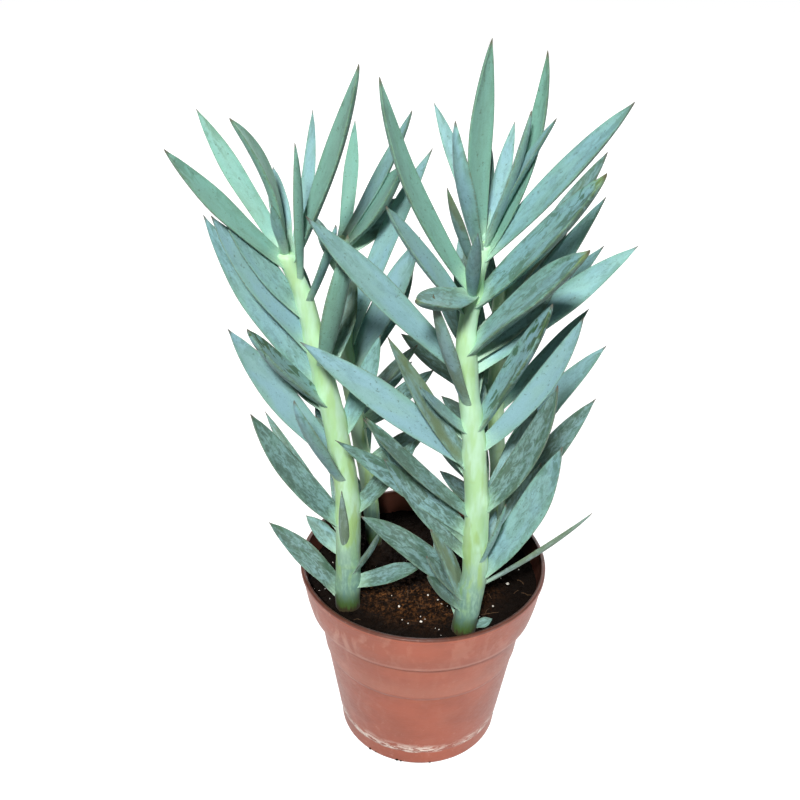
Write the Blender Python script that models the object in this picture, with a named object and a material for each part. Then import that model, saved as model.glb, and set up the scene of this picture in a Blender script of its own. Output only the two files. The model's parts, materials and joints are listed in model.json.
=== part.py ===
"""Potted chalk sticks: four fleshy leafy stems standing in dark soil in a plain tapered nursery pot.

Metres, +Z up. The origin is the centre of the pot's flat base, and -Y is the side that faces a viewer.
Each stem is a curved tube with its leaves fused to it. A leaf is a long fleshy blade, flat above and
keeled below, that leaves the stem at its own height and heading and bends along its length.
"""

import math
import random
from collections import namedtuple

import bmesh
import bpy
from mathutils import Vector

MM = 0.001

# Driving sizes of the pot and the soil, in millimetres. The pot is a common 11 cm nursery pot.
POT_HEIGHT = 92.0
RIM_RADIUS = 55.0
LIP_HEIGHT = 2.4
LIP_OVERHANG = 0.7
COLLAR_WAIST_RADIUS = 52.9
COLLAR_WAIST_HEIGHT = 79.0
COLLAR_FOOT_RADIUS = 51.0
COLLAR_FOOT_HEIGHT = 71.2
COLLAR_STEP_HEIGHT = 0.6
BAND_TOP_RADIUS = 47.4
BAND_FOOT_RADIUS = 44.5
BAND_FOOT_HEIGHT = 49.0
BAND_STEP = 0.7
BAND_STEP_HEIGHT = 1.2
BASE_RADIUS = 36.9
BASE_CHAMFER = 0.8
BASE_CHAMFER_HEIGHT = 1.2
WALL = 1.2
FLOOR = 1.6
DRAIN_HOLES = 8
DRAIN_RADIUS = 3.2
DRAIN_CIRCLE_RADIUS = 27.0
POT_SEGMENTS = 48

SOIL_HEIGHT = 82.0
SOIL_CROWN = 1.0
SOIL_ROUGHNESS = 0.7
SOIL_RINGS = 6
SOIL_SEGMENTS = 32
SOIL_SEED = 7
CLEARANCE = 0.3

# How the stems and leaves are made. A leaf's section is a list of (across, down) in half widths and
# thicknesses, and its shoulder is where along its length it is widest.
STEM_SIDES = 10
STEM_RING_SPACING = 14.0
STEM_DEPTH = 8.0
TOP_ROUNDING = 1.5
LEAF_STATIONS = (0.0, 0.16, 0.36, 0.58, 0.78, 0.92)
LEAF_SECTION = ((-1.0, 0.0), (0.0, -0.12), (1.0, 0.0), (0.6, -0.72), (0.0, -1.0), (-0.6, -0.72))
LEAF_SHOULDER = 0.55
LEAF_FOOT_WIDTH = 0.5
LEAF_TAPER_POWER = 1.9
LEAF_THICKNESS = 0.36
LEAF_THINNING = 0.6
LIGHT_TURN = 56.0

# The side turned away repeats the listed side: a far leaf is a listed one swung back through a plane
# that leans back by this angle. It starts a little lower on the stem and is a little smaller.
FAR_SWING = 1.1
FAR_LEAN = 30.0
FAR_DROP = 3.0
FAR_SIZE = 0.9

# A leaf's height above the soil, the compass heading that it points in, 0 towards +X and 90 towards
# +Y, its rise from foot to tip, its length and width, the angle that it bends upward on the way, and
# the turn about its own length. A leaf without a turn of its own faces the light at the front.
Leaf = namedtuple("Leaf", "height heading rise length width arch turn", defaults=(None,))

# A stem's path is a list of (height above the soil, x, y), and its radii are at (foot, top). "far" says
# which of its leaves, counted from 0, have a far leaf behind them.
STEMS = {
    "leafy_stem_front_left": {
        "path": (
            (0, -32, -24),
            (60, -32, -24),
            (96, -37, -24),
            (126, -43, -24),
            (146, -47, -24),
            (166, -54, -24),
        ),
        "radii": (5.3, 3.0),
        "leaves": (
            (6, -168, 53, 54, 9.5, 0),
            (13, -24, 33, 42, 8.0, 5),
            (17, -48, 60, 45, 6.0, 8),
            (14, -106, 83, 52, 5.0, 5),
            (28, 138, 15, 28, 8.0, 10),
            (37, 135, 34, 68, 6.5, 18),
            (43, -161, 58, 72, 11.5, 15),
            (49, -5, 55, 50, 8.5, 5),
            (66, -117, 58, 65, 10.5, 5),
            (70, 116, 27, 38, 7.5, 5),
            (74, -171, 56, 76, 12.0, 8),
            (85, 7, 71, 50, 8.5, 5),
            (102, -132, 50, 60, 11.0, 5),
            (119, -57, 70, 65, 12.5, 0),
            (108, -177, 59, 84, 11.0, 18),
            (124, -163, 58, 69, 11.5, 6),
            (139, -160, 56, 54, 10.0, 4),
            (145, -49, 62, 42, 8.0, 0),
            (152, -83, 73, 62, 6.0, 0, 65),
            (159, -151, 49, 66, 9.5, 4),
            (161, -24, 69, 80, 10.0, 8),
            (162, 148, 50, 64, 7.5, 4),
            (160, 60, 74, 57, 5.0, 30),
            (164, -100, 60, 28, 5.0, 5),
            (165, -137, 69, 58, 9.5, -48),
            (163, 108, 48, 36, 7.5, -4),
            (30, 105, 50, 50, 8.5, 5),
            (58, 113, 50, 50, 8.5, 5),
            (90, 118, 50, 50, 8.5, 0),
            (122, 119, 52, 48, 8.0, 0),
        ),
        "far": (0, 3, 8, 12, 13),
    },
    "leafy_stem_back_left": {
        "path": (
            (0, -23, 21),
            (34, -26, 21),
            (65, -31, 21),
            (105, -36, 21),
            (155, -37, 21),
        ),
        "radii": (3.6, 2.4),
        "leaves": (
            (65, -19, 46, 50, 9.5, 5),
            (77, -40, 49, 55, 8.5, 5),
            (93, -6, 65, 70, 12.5, 0),
            (102, 2, 69, 96, 9.5, -12),
            (148, 87, 45, 60, 6.0, -4),
            (151, -33, 53, 48, 14.0, -4),
            (153, -24, 62, 64, 7.5, 6),
            (44, -28, 43, 41, 12.5, 5),
            (20, 150, 48, 45, 8.0, 8),
            (46, 95, 50, 52, 8.5, 5),
            (84, 150, 50, 42, 8.0, 5),
            (112, 95, 52, 52, 8.0, 0),
            (136, 135, 52, 28, 6.0, 0),
        ),
        "far": (1, 2, 5),
    },
    "leafy_stem_front_right": {
        "path": (
            (0, 18, -37),
            (26, 21, -37),
            (58, 21, -37),
            (95, 18, -37),
            (135, 13, -37),
            (159, 15, -37),
            (177, 17, -37),
        ),
        "radii": (5.1, 2.6),
        "leaves": (
            (6, -149, 71, 58, 10.0, -25),
            (11, -146, 53, 35, 7.0, 5),
            (17, -145, 55, 40, 7.5, 5),
            (24, 31, 17, 63, 5.0, 16, -60),
            (19, -164, 46, 68, 11.0, -12),
            (29, -8, 66, 75, 13.0, 22),
            (33, -51, 70, 45, 6.0, 5),
            (38, -170, 54, 65, 9.5, 6),
            (49, -173, 41, 75, 8.5, -6),
            (59, -148, 50, 80, 7.5, 5),
            (62, -19, 67, 70, 11.5, 25),
            (79, -162, 61, 75, 8.5, 0),
            (85, -168, 41, 88, 12.0, -6),
            (91, -13, 60, 72, 9.5, 20),
            (98, -141, 48, 40, 6.0, 5),
            (100, -35, 65, 68, 12.5, 0),
            (110, -118, 61, 68, 8.5, 5),
            (125, 24, 31, 80, 10.5, 0),
            (126, -161, 48, 88, 11.5, 8),
            (134, -41, 48, 72, 14.0, -8),
            (153, -36, 51, 75, 13.5, 4),
            (154, -91, 50, 50, 5.0, 8),
            (149, -148, 53, 58, 9.5, 0),
            (158, -115, 18, 50, 11.0, 5),
            (158, -157, 65, 86, 9.5, 22),
            (165, -112, 52, 52, 5.5, 8),
            (170, -20, 76, 76, 8.0, 28),
            (170, -25, 52, 78, 10.5, 0),
            (171, -38, 64, 60, 6.5, -20),
            (172, 180, 90, 73, 10.0, 8, -50),
            (174, -46, 71, 55, 8.0, 5),
            (173, -119, 66, 56, 9.0, 12),
            (176, 73, 42, 50, 5.5, 0),
            (177, 88, 39, 45, 5.0, 0),
            (177, 119, 45, 55, 5.5, -10),
            (45, 180, 53, 75, 10.0, 4),
            (45, 88, 50, 50, 8.5, 5),
            (78, 92, 50, 50, 8.5, 5),
            (108, 88, 50, 50, 8.5, 0),
            (138, 95, 52, 45, 8.0, 0),
        ),
        "far": (0, 5, 6, 10, 11, 14, 19),
    },
    "leafy_stem_back_right": {
        "path": (
            (0, 33, 25),
            (40, 33, 26),
            (72, 30, 27),
            (106, 29, 27),
            (138, 28, 27),
        ),
        "radii": (3.8, 2.5),
        "leaves": (
            (7, 2, 61, 84, 11.0, -5),
            (40, -2, 58, 80, 11.0, -20),
            (72, -14, 57, 66, 8.0, 5),
            (97, -19, 56, 72, 8.5, 0),
            (106, -16, 61, 80, 9.5, -4),
            (125, -23, 61, 80, 11.0, 4),
            (78, -157, 41, 60, 12.0, 5),
            (52, -170, 48, 40, 9.0, 5),
            (24, -165, 52, 55, 7.0, 5),
            (16, -166, 46, 40, 8.0, 5),
            (22, 150, 48, 50, 9.0, 10),
            (54, 108, 50, 52, 9.0, 5),
            (86, 152, 50, 50, 8.5, 5),
            (118, 115, 52, 48, 8.0, 0),
        ),
        "far": (0, 1, 3, 5),
    },
}

POT_COLOUR = (0.37, 0.12, 0.075)
SOIL_COLOUR = (0.025, 0.014, 0.008)
LEAF_COLOUR = (0.22, 0.45, 0.46)


def clear_scene():
    for obj in list(bpy.data.objects):
        bpy.data.objects.remove(obj)


def make_material(name, colour, roughness):
    material = bpy.data.materials.new(name)
    material.use_nodes = True
    shader = material.node_tree.nodes["Principled BSDF"]
    shader.inputs["Base Color"].default_value = (*colour, 1.0)
    shader.inputs["Roughness"].default_value = roughness
    shader.inputs["Metallic"].default_value = 0.0
    return material


def object_from_rings(name, rings, material=None, crease=40.0):
    """A closed body through rings of equal size. A ring of one point closes an end, and others are capped."""
    mesh = bmesh.new()
    made = [[mesh.verts.new(Vector(point) * MM) for point in ring] for ring in rings]
    for low, high in zip(made, made[1:]):
        count = max(len(low), len(high))
        for i in range(count):
            j = (i + 1) % count
            corners = [low[i % len(low)], low[j % len(low)], high[j % len(high)], high[i % len(high)]]
            mesh.faces.new(list(dict.fromkeys(corners)))
    if len(made[0]) > 1:
        mesh.faces.new(made[0][::-1])
    if len(made[-1]) > 1:
        mesh.faces.new(made[-1])
    bmesh.ops.recalc_face_normals(mesh, faces=mesh.faces)
    data = bpy.data.meshes.new(name)
    mesh.to_mesh(data)
    mesh.free()
    data.shade_smooth()
    data.set_sharp_from_angle(angle=math.radians(crease))
    if material:
        data.materials.append(material)
    obj = bpy.data.objects.new(name, data)
    bpy.context.scene.collection.objects.link(obj)
    return obj


def combine(target, others, operation):
    """Joins the other objects to the target, or cuts them from it, and removes them."""
    group = bpy.data.collections.new(target.name + "_pieces")
    bpy.context.scene.collection.children.link(group)
    for other in others:
        bpy.context.scene.collection.objects.unlink(other)
        group.objects.link(other)
    modifier = target.modifiers.new("Boolean", "BOOLEAN")
    modifier.operation = operation
    modifier.operand_type = "COLLECTION"
    modifier.collection = group
    with bpy.context.temp_override(object=target, active_object=target):
        bpy.ops.object.modifier_apply(modifier=modifier.name)
    for other in others:
        bpy.data.objects.remove(other)
    bpy.data.collections.remove(group)


def circle_ring(radius, height, segments):
    steps = [2 * math.pi * i / segments for i in range(segments)]
    return [(radius * math.cos(a), radius * math.sin(a), height) for a in steps]


def post(name, x, y, radius, low, high, sides=24):
    rings = [[(x + px, y + py, z) for px, py, _ in circle_ring(radius, 0, sides)] for z in (low, high)]
    return object_from_rings(name, rings)


def wall_profile(inset=0.0):
    """(radius, height) down the wall, from under the lip to the foot, an inset inside the outer surface."""
    band_top = COLLAR_FOOT_HEIGHT - COLLAR_STEP_HEIGHT
    corners = [
        (RIM_RADIUS - LIP_OVERHANG, POT_HEIGHT - LIP_HEIGHT),
        (COLLAR_WAIST_RADIUS, COLLAR_WAIST_HEIGHT),
        (COLLAR_FOOT_RADIUS, COLLAR_FOOT_HEIGHT + inset),
        (BAND_TOP_RADIUS, band_top + inset),
        (BAND_FOOT_RADIUS, BAND_FOOT_HEIGHT),
        (BAND_FOOT_RADIUS - BAND_STEP, BAND_FOOT_HEIGHT - BAND_STEP_HEIGHT),
        (BASE_RADIUS, BASE_CHAMFER_HEIGHT),
    ]
    return [(radius - inset, height) for radius, height in corners]


def radius_at(height, inset=0.0):
    """The radius of the wall at a height, an inset inside the outer surface."""
    corners = wall_profile(inset)
    for (high_r, high_z), (low_r, low_z) in zip(corners, corners[1:]):
        if height >= low_z:
            break
    return low_r + (high_r - low_r) * (height - low_z) / (high_z - low_z)


def make_pot(material):
    mouth_radius = RIM_RADIUS - LIP_OVERHANG - WALL
    lip = [(mouth_radius, POT_HEIGHT), (RIM_RADIUS, POT_HEIGHT), (RIM_RADIUS, POT_HEIGHT - LIP_HEIGHT)]
    outside = wall_profile() + [(BASE_RADIUS - BASE_CHAMFER, 0.0)]
    inside = wall_profile(WALL)[:-1] + [(radius_at(FLOOR, WALL), FLOOR)]
    loop = [(0.0, 0.0)] + outside[::-1] + lip[::-1] + inside + [(0.0, FLOOR)]
    rings = [[(0.0, 0.0, z)] if r == 0 else circle_ring(r, z, POT_SEGMENTS) for r, z in loop]
    pot = object_from_rings("pot", rings, material)
    cutters = []
    for i in range(DRAIN_HOLES):
        angle = 2 * math.pi * (i + 0.5) / DRAIN_HOLES
        x = DRAIN_CIRCLE_RADIUS * math.cos(angle)
        y = DRAIN_CIRCLE_RADIUS * math.sin(angle)
        cutters.append(post("drain_hole", x, y, DRAIN_RADIUS, -FLOOR, 2 * FLOOR, 16))
    combine(pot, cutters, "DIFFERENCE")
    pot.data.set_sharp_from_angle(angle=math.radians(40))
    return pot


def make_soil(material):
    gap = WALL + CLEARANCE
    side = [(radius_at(FLOOR + CLEARANCE, gap), FLOOR + CLEARANCE)]
    side += wall_profile(gap)[-2:0:-1]
    side.append((radius_at(SOIL_HEIGHT, gap), SOIL_HEIGHT))
    rings = [circle_ring(radius, height, SOIL_SEGMENTS) for radius, height in side]
    top_radius = side[-1][0]
    draw = random.Random(SOIL_SEED)
    for i in range(SOIL_RINGS - 1, 0, -1):
        share = i / SOIL_RINGS
        height = SOIL_HEIGHT + SOIL_CROWN * (1 - share**2)
        ring = circle_ring(top_radius * share, height, SOIL_SEGMENTS)
        rings.append([(x, y, z + SOIL_ROUGHNESS * draw.uniform(-1, 1)) for x, y, z in ring])
    rings.append([(0.0, 0.0, SOIL_HEIGHT + SOIL_CROWN)])
    soil = object_from_rings("soil", rings, material)
    cutters = []
    for stem in STEMS.values():
        _, x, y = stem["path"][0]
        radius = stem["radii"][0] + CLEARANCE
        low = SOIL_HEIGHT - STEM_DEPTH - CLEARANCE
        cutters.append(post("stem_hole", x, y, radius, low, SOIL_HEIGHT + STEM_DEPTH))
    combine(soil, cutters, "DIFFERENCE")
    return soil


def path_point(path, height):
    """A point on the smooth curve through a stem's path. Below the soil the stem goes straight down."""
    if height <= path[0][0]:
        return Vector((path[0][1], path[0][2], SOIL_HEIGHT + height))
    i = 0
    while i < len(path) - 2 and height > path[i + 1][0]:
        i += 1
    before, start, end, after = (path[max(i - 1, 0)], path[i], path[i + 1], path[min(i + 2, len(path) - 1)])
    span = end[0] - start[0]
    t = (height - start[0]) / span
    place = []
    for axis in (1, 2):
        leave = span * (end[axis] - before[axis]) / (end[0] - before[0])
        arrive = span * (after[axis] - start[axis]) / (after[0] - start[0])
        place.append(
            (2 * t**3 - 3 * t**2 + 1) * start[axis]
            + (t**3 - 2 * t**2 + t) * leave
            + (3 * t**2 - 2 * t**3) * end[axis]
            + (t**3 - t**2) * arrive
        )
    return Vector((place[0], place[1], SOIL_HEIGHT + height))


def stem_radius(stem, height):
    foot, top = stem["radii"]
    share = min(max(height / stem["path"][-1][0], 0.0), 1.0)
    return foot + (top - foot) * share**2


def stem_rings(stem):
    top = stem["path"][-1][0]
    count = math.ceil((top - TOP_ROUNDING) / STEM_RING_SPACING)
    heights = [-STEM_DEPTH] + [(top - TOP_ROUNDING) * i / count for i in range(count + 1)]
    rings = []
    for height in heights:
        centre = path_point(stem["path"], height)
        ring = circle_ring(stem_radius(stem, height), 0.0, STEM_SIDES)
        rings.append([centre + Vector(point) for point in ring])
    rings.append([path_point(stem["path"], top)])
    return rings


def width_share(t):
    """A leaf's width at t along it, as a share of its greatest width: a narrow foot and a fine point."""
    if t < LEAF_SHOULDER:
        return LEAF_FOOT_WIDTH + (1 - LEAF_FOOT_WIDTH) * math.sin(math.pi * t / (2 * LEAF_SHOULDER))
    return 1 - ((t - LEAF_SHOULDER) / (1 - LEAF_SHOULDER)) ** LEAF_TAPER_POWER


def leaf_turn(leaf):
    """The turn of a leaf about its own length: leaves that point sideways tip their faces to the front."""
    if leaf.turn is not None:
        return math.radians(leaf.turn)
    return math.radians(LIGHT_TURN) * math.cos(math.radians(leaf.heading))


def far_leaf(leaf):
    """The leaf behind a listed one."""
    heading = math.radians(leaf.heading)
    rise = math.radians(leaf.rise)
    ahead = Vector((math.cos(rise) * math.cos(heading), math.cos(rise) * math.sin(heading), math.sin(rise)))
    lean = math.radians(FAR_LEAN)
    back = Vector((0.0, math.cos(lean), -math.sin(lean)))
    swung = ahead - FAR_SWING * ahead.dot(back) * back
    return Leaf(
        leaf.height - FAR_DROP,
        math.degrees(math.atan2(swung.y, swung.x)),
        math.degrees(math.asin(swung.z / swung.length)),
        leaf.length * swung.length * FAR_SIZE,
        leaf.width * FAR_SIZE,
        leaf.arch,
    )


def leaves_of(stem):
    listed = [Leaf(*row) for row in stem["leaves"]]
    return listed + [far_leaf(listed[i]) for i in stem["far"]]


def leaf_rings(stem, leaf):
    outward = Vector((math.cos(math.radians(leaf.heading)), math.sin(math.radians(leaf.heading)), 0.0))
    across = Vector((-outward.y, outward.x, 0.0))
    turn = leaf_turn(leaf)
    start = math.radians(leaf.rise - leaf.arch / 2)
    bend = math.radians(leaf.arch)
    rings = []
    point = path_point(stem["path"], leaf.height)
    reached = 0.0
    for t in (*LEAF_STATIONS, 1.0):
        middle = start + bend * (reached + t) / 2
        ahead = outward * math.cos(middle) + Vector((0, 0, math.sin(middle)))
        point = point + ahead * leaf.length * (t - reached)
        reached = t
        if t == 1.0:
            break
        slope = start + bend * t
        upper = Vector((0, 0, math.cos(slope))) - outward * math.sin(slope)
        side = across * math.cos(turn) + upper * math.sin(turn)
        face = upper * math.cos(turn) - across * math.sin(turn)
        half_width = leaf.width / 2 * width_share(t)
        depth = leaf.width * LEAF_THICKNESS * width_share(t) ** LEAF_THINNING
        rings.append([point + side * half_width * u + face * depth * v for u, v in LEAF_SECTION])
    rings.append([point])
    return rings


def make_leafy_stem(name, stem, material):
    body = object_from_rings(name, stem_rings(stem), material)
    leaves = [object_from_rings("leaf", leaf_rings(stem, leaf)) for leaf in leaves_of(stem)]
    combine(body, leaves, "UNION")
    body.data.shade_smooth()
    body.data.set_sharp_from_angle(angle=math.radians(50))
    return body


def main():
    clear_scene()
    make_pot(make_material("pot_plastic", POT_COLOUR, 0.5))
    make_soil(make_material("potting_soil", SOIL_COLOUR, 0.95))
    foliage = make_material("foliage", LEAF_COLOUR, 0.55)
    for name, stem in STEMS.items():
        make_leafy_stem(name, stem, foliage)


main()
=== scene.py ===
"""The looks of the potted chalk sticks: fine leaves, stems, soil and pot in place of the plain solids.

Lengths are in millimetres until a mesh is made, and the frame is the solids' own: +Z up, the origin at
the centre of the pot's base, -Y towards the camera. The rows of leaves are the same as the solids'.
"""

import json
import math
import random
from collections import namedtuple

import bmesh
import bpy
from mathutils import Matrix, Vector, noise

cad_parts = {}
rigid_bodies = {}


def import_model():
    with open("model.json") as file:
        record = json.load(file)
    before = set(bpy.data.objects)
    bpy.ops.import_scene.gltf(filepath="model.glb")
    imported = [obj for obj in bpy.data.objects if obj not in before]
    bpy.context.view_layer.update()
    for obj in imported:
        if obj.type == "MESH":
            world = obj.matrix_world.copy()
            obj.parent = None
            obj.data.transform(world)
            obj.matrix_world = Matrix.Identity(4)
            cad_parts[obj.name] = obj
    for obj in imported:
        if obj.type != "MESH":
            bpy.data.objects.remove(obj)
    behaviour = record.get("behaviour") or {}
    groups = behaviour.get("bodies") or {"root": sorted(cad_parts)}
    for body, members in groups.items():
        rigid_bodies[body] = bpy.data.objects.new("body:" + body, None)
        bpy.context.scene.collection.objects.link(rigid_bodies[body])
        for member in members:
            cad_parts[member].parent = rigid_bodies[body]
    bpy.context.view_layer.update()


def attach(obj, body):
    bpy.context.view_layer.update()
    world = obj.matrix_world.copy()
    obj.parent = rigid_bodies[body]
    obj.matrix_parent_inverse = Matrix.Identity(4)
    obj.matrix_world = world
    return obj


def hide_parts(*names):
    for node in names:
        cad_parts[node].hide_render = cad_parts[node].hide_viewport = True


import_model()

MM = 0.001

# The pot and the soil.
POT_HEIGHT = 92.0
RIM_RADIUS = 55.0
LIP_HEIGHT = 2.4
LIP_OVERHANG = 0.7
WALL = 1.2
FLOOR = 1.6
FOOT_RECESS = 0.5
FOOT_RING_RADII = (31.6, 32.6)
FOOT_ROUNDING = 0.8
POT_SEGMENTS = 180
LEAST_ROUNDING = 0.05
DRAIN_HOLES = 8
DRAIN_RADIUS = 3.2
DRAIN_CIRCLE_RADIUS = 27.0
DRAIN_SEGMENTS = 40
POT_CREASE = 45.0

# (radius, height, rounding) of the corners down the outside of the wall, from under the lip to the foot.
WALL_CORNERS = (
    (54.3, 89.6, 0.3),
    (52.9, 79.0, 4.0),
    (51.0, 71.2, 0.5),
    (47.4, 70.6, 0.4),
    (44.5, 49.0, 1.0),
    (43.8, 47.8, 1.0),
    (37.85, 9.6, 0.5),
    (37.3, 8.5, 0.6),
    (36.9, 1.4, 1.4),
)
LEDGE_CORNERS = (2, 3)
FOOT_CORNER = 6

SOIL_HEIGHT = 82.0
SOIL_CROWN = 1.0
SOIL_RADIUS = 51.7
SOIL_RINGS = 84
SOIL_SEGMENTS = 300
CLEARANCE = 0.3

# The soil sinks at the wall and is heaped round the stems, each by a height over a width. Its waves are
# (height, length, layer of the noise), and its clods are small lumps packed side by side.
SOIL_DIP = (1.3, 9.0)
SOIL_HEAP = (0.9, 4.0)
SOIL_WAVES = ((1.0, 9.0, 3.1), (0.7, 3.2, 7.7))
SOIL_RIPPLE = (0.25, 0.8, 1.3)
CLOD_LENGTH = 1.7
CLOD_HEIGHT = 0.75
CLOD_MIDDLE = 0.45

# The stems.
STEM_DEPTH = 8.0
STEM_SIDES = 36
STEM_RING_SPACING = 1.3
TOP_ROUNDING = 1.5
STEM_BUMPS = 0.16

# A stem swells under each leaf, within a span of depths below the place where the leaf leaves it.
SWELLING = 0.55
SWELLING_MOST = 1.3
SWELLING_SPAN = (-5.0, 16.0)
SWELLING_REACH_UP = 3.0
SWELLING_REACH_DOWN = 6.5
SWELLING_SPREAD = 0.55

# The scars of lost leaves. They are ridges, and their half angle round the stem is in radians.
SCARS = 9
SCAR_RIDGE = 0.14
SCAR_DROOP = 1.4
SCAR_WIDTH = 0.8
SCAR_HALF_ANGLE = 0.8

# The leaves. Their thickness is a share of their width, and channel and edge are shares of the thickness.
LEAF_STATIONS = 34
LEAF_POINTS = 22
LEAF_SHOULDER = 0.55
LEAF_FOOT_WIDTH = 0.5
LEAF_TAPER_POWER = 1.9
LEAF_THICKNESS = 0.36
LEAF_THINNING = 0.6
LEAF_CHANNEL = 0.14
LEAF_EDGE = 0.09
LIGHT_TURN = 56.0

# A far leaf is a listed one swung to the back of the stem, a little lower and smaller.
FAR_SWING = 1.1
FAR_LEAN = 30.0
FAR_DROP = 3.0
FAR_SIZE = 0.9

# How far a leaf may wander from its plain form: its sideways bow as a share of its length, its twist in
# degrees, and the waviness of its edges as a share of its width.
LEAF_BOW = 0.012
LEAF_TWIST = 7.0
LEAF_WAVE = 0.05

# A leaf's height above the soil, the compass heading that it points in, 0 towards +X and 90 towards
# +Y, its rise from foot to tip, its length and width, the angle that it bends upward on the way, and
# the turn about its own length. A leaf without a turn of its own faces the light at the front.
Leaf = namedtuple("Leaf", "height heading rise length width arch turn", defaults=(None,))

# The leaves of each stem, from the photo where it shows them.
FRONT_LEFT_LEAVES = (
    (6, -168, 53, 54, 9.5, 0),
    (13, -24, 33, 42, 8.0, 5),
    (17, -48, 60, 45, 6.0, 8),
    (14, -106, 83, 52, 5.0, 5),
    (28, 138, 15, 28, 8.0, 10),
    (37, 135, 34, 68, 6.5, 18),
    (43, -161, 58, 72, 11.5, 15),
    (49, -5, 55, 50, 8.5, 5),
    (66, -117, 58, 65, 10.5, 5),
    (70, 116, 27, 38, 7.5, 5),
    (74, -171, 56, 76, 12.0, 8),
    (85, 7, 71, 50, 8.5, 5),
    (102, -132, 50, 60, 11.0, 5),
    (119, -57, 70, 65, 12.5, 0),
    (108, -177, 59, 84, 11.0, 18),
    (124, -163, 58, 69, 11.5, 6),
    (139, -160, 56, 54, 10.0, 4),
    (145, -49, 62, 42, 8.0, 0),
    (152, -83, 73, 62, 6.0, 0, 65),
    (159, -151, 49, 66, 9.5, 4),
    (161, -24, 69, 80, 10.0, 8),
    (162, 148, 50, 64, 7.5, 4),
    (160, 60, 74, 57, 5.0, 30),
    (164, -100, 60, 28, 5.0, 5),
    (165, -137, 69, 58, 9.5, -48),
    (163, 108, 48, 36, 7.5, -4),
    (30, 105, 50, 50, 8.5, 5),
    (58, 113, 50, 50, 8.5, 5),
    (90, 118, 50, 50, 8.5, 0),
    (122, 119, 52, 48, 8.0, 0),
)
BACK_LEFT_LEAVES = (
    (65, -19, 46, 50, 9.5, 5),
    (77, -40, 49, 55, 8.5, 5),
    (93, -6, 65, 70, 12.5, 0),
    (102, 2, 69, 96, 9.5, -12),
    (148, 87, 45, 60, 6.0, -4),
    (151, -33, 53, 48, 14.0, -4),
    (153, -24, 62, 64, 7.5, 6),
    (44, -28, 43, 41, 12.5, 5),
    (20, 150, 48, 45, 8.0, 8),
    (46, 95, 50, 52, 8.5, 5),
    (84, 150, 50, 42, 8.0, 5),
    (112, 95, 52, 52, 8.0, 0),
    (136, 135, 52, 28, 6.0, 0),
)
FRONT_RIGHT_LEAVES = (
    (6, -149, 71, 58, 10.0, -25),
    (11, -146, 53, 35, 7.0, 5),
    (17, -145, 55, 40, 7.5, 5),
    (24, 31, 17, 63, 5.0, 16, -60),
    (19, -164, 46, 68, 11.0, -12),
    (29, -8, 66, 75, 13.0, 22),
    (33, -51, 70, 45, 6.0, 5),
    (38, -170, 54, 65, 9.5, 6),
    (49, -173, 41, 75, 8.5, -6),
    (59, -148, 50, 80, 7.5, 5),
    (62, -19, 67, 70, 11.5, 25),
    (79, -162, 61, 75, 8.5, 0),
    (85, -168, 41, 88, 12.0, -6),
    (91, -13, 60, 72, 9.5, 20),
    (98, -141, 48, 40, 6.0, 5),
    (100, -35, 65, 68, 12.5, 0),
    (110, -118, 61, 68, 8.5, 5),
    (125, 24, 31, 80, 10.5, 0),
    (126, -161, 48, 88, 11.5, 8),
    (134, -41, 48, 72, 14.0, -8),
    (153, -36, 51, 75, 13.5, 4),
    (154, -91, 50, 50, 5.0, 8),
    (149, -148, 53, 58, 9.5, 0),
    (158, -115, 18, 50, 11.0, 5),
    (158, -157, 65, 86, 9.5, 22),
    (165, -112, 52, 52, 5.5, 8),
    (170, -20, 76, 76, 8.0, 28),
    (170, -25, 52, 78, 10.5, 0),
    (171, -38, 64, 60, 6.5, -20),
    (172, 180, 90, 73, 10.0, 8, -50),
    (174, -46, 71, 55, 8.0, 5),
    (173, -119, 66, 56, 9.0, 12),
    (176, 73, 42, 50, 5.5, 0),
    (177, 88, 39, 45, 5.0, 0),
    (177, 119, 45, 55, 5.5, -10),
    (45, 180, 53, 75, 10.0, 4),
    (45, 88, 50, 50, 8.5, 5),
    (78, 92, 50, 50, 8.5, 5),
    (108, 88, 50, 50, 8.5, 0),
    (138, 95, 52, 45, 8.0, 0),
)
BACK_RIGHT_LEAVES = (
    (7, 2, 61, 84, 11.0, -5),
    (40, -2, 58, 80, 11.0, -20),
    (72, -14, 57, 66, 8.0, 5),
    (97, -19, 56, 72, 8.5, 0),
    (106, -16, 61, 80, 9.5, -4),
    (125, -23, 61, 80, 11.0, 4),
    (78, -157, 41, 60, 12.0, 5),
    (52, -170, 48, 40, 9.0, 5),
    (24, -165, 52, 55, 7.0, 5),
    (16, -166, 46, 40, 8.0, 5),
    (22, 150, 48, 50, 9.0, 10),
    (54, 108, 50, 52, 9.0, 5),
    (86, 152, 50, 50, 8.5, 5),
    (118, 115, 52, 48, 8.0, 0),
)

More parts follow.
